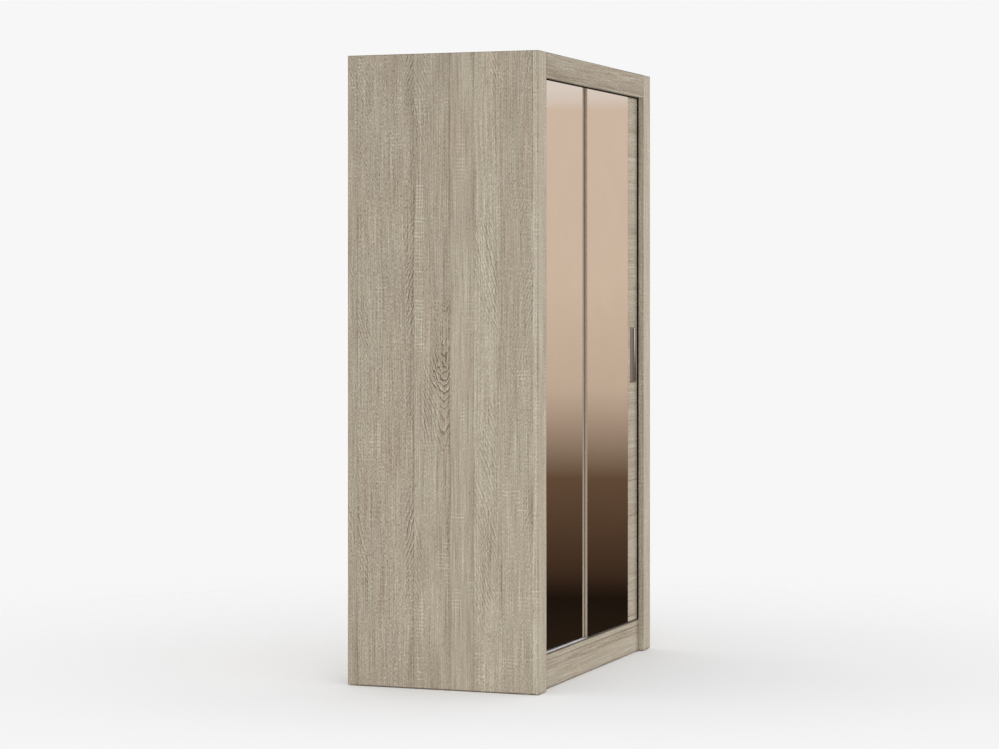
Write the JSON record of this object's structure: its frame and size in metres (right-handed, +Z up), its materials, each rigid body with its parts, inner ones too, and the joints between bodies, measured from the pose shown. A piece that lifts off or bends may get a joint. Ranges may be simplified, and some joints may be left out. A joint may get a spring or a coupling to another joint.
{
  "type": "sliding door wardrobe",
  "caption": "Tall freestanding wardrobe with mirrored bypass sliding doors on bottom rollers, adjustable shelves and a hanging rail.",
  "frame": {"origin": "middle of the footprint on the floor, under the glides", "axes": "+X to the right seen from the front, +Y to the back, +Z up"},
  "size_m": [1.2, 0.65, 2.03],
  "materials": {
    "oak_laminate": "matt embossed laminate with a pale greige oak print",
    "back_board": "smooth printed thin board",
    "mirror_glass": "silvered float glass",
    "edge_profile": "satin champagne anodised",
    "track_aluminium": "satin silver anodised",
    "pull_metal": "satin brushed",
    "zinc_steel": "zinc plated",
    "rail_chrome": "polished chrome plating",
    "roller_plastic": "moulded acetal",
    "pale_plastic": "moulded, slightly rough",
    "bumper_rubber": "soft matt",
    "dowel_beech": "ribbed bare beech"
  },
  "bodies": {
    "cabinet": {"anti_tip_brackets": "zinc_steel", "back_joint_strip": "pale_plastic", "back_strip_screws": "zinc_steel", "bottom_panel": "oak_laminate", "bottom_track": "track_aluminium", "cam_bolts": "zinc_steel", "cam_locks": "zinc_steel", "centre_partition": "oak_laminate", "door_bumpers": "bumper_rubber", "dowels": "dowel_beech", "dust_seals": "bumper_rubber", "floor_glides": "pale_plastic", "front_plinth": "oak_laminate", "hanging_rail": "rail_chrome", "hat_shelf": "oak_laminate", "left_back_panel": "back_board", "left_shelf_1": "oak_laminate", "left_shelf_2": "oak_laminate", "left_shelf_3": "oak_laminate", "left_shelf_4": "oak_laminate", "left_side_panel": "oak_laminate", "left_stile": "oak_laminate", "partition_screws": "zinc_steel", "plinth_brace": "oak_laminate", "rail_bracket_screws": "zinc_steel", "rail_brackets": "zinc_steel", "rear_plinth": "oak_laminate", "right_back_panel": "back_board", "right_side_panel": "oak_laminate", "right_stile": "oak_laminate", "shelf_pins": "zinc_steel", "tip_bracket_screws": "zinc_steel", "top_fascia": "oak_laminate", "top_panel": "oak_laminate", "top_track": "track_aluminium", "track_screws": "zinc_steel"},
    "left_door": {"left_door_panel": "oak_laminate", "left_door_mirror": "mirror_glass", "left_door_edge_strip": "edge_profile", "left_door_pull": "pull_metal", "left_door_roller_carriers": "zinc_steel", "left_door_carrier_screws": "zinc_steel", "left_door_axles": "zinc_steel", "left_door_top_gliders": "roller_plastic"},
    "right_door": {"right_door_panel": "oak_laminate", "right_door_mirror": "mirror_glass", "right_door_edge_strip": "edge_profile", "right_door_pull": "pull_metal", "right_door_roller_carriers": "zinc_steel", "right_door_carrier_screws": "zinc_steel", "right_door_axles": "zinc_steel", "right_door_top_gliders": "roller_plastic"},
    "left_door_inner_wheel": {"left_door_inner_wheel": "roller_plastic"},
    "left_door_outer_wheel": {"left_door_outer_wheel": "roller_plastic"},
    "right_door_inner_wheel": {"right_door_inner_wheel": "roller_plastic"},
    "right_door_outer_wheel": {"right_door_outer_wheel": "roller_plastic"}
  },
  "joints": [
    {"name": "left_door_slide", "type": "slide", "parent": "cabinet", "child": "left_door", "axis": [1, 0, 0], "range_m": [0, 0.535]},
    {"name": "right_door_slide", "type": "slide", "parent": "cabinet", "child": "right_door", "axis": [1, 0, 0], "range_m": [-0.535, 0]},
    {"name": "left_door_inner_wheel_spin", "type": "hinge", "parent": "left_door", "child": "left_door_inner_wheel", "pos_m": [-0.035, -0.272, 0.1228], "axis": [0, 1, 0], "continuous": true},
    {"name": "left_door_outer_wheel_spin", "type": "hinge", "parent": "left_door", "child": "left_door_outer_wheel", "pos_m": [-0.5, -0.272, 0.1228], "axis": [0, 1, 0], "continuous": true},
    {"name": "right_door_inner_wheel_spin", "type": "hinge", "parent": "right_door", "child": "right_door_inner_wheel", "pos_m": [0.035, -0.292, 0.1228], "axis": [0, 1, 0], "continuous": true},
    {"name": "right_door_outer_wheel_spin", "type": "hinge", "parent": "right_door", "child": "right_door_outer_wheel", "pos_m": [0.5, -0.292, 0.1228], "axis": [0, 1, 0], "continuous": true}
  ],
  "couplings": [
    {"joint": "left_door_inner_wheel_spin", "follows": "left_door_slide", "rad_per_m": 105.26},
    {"joint": "left_door_outer_wheel_spin", "follows": "left_door_slide", "rad_per_m": 105.26},
    {"joint": "right_door_inner_wheel_spin", "follows": "right_door_slide", "rad_per_m": 105.26},
    {"joint": "right_door_outer_wheel_spin", "follows": "right_door_slide", "rad_per_m": 105.26}
  ]
}
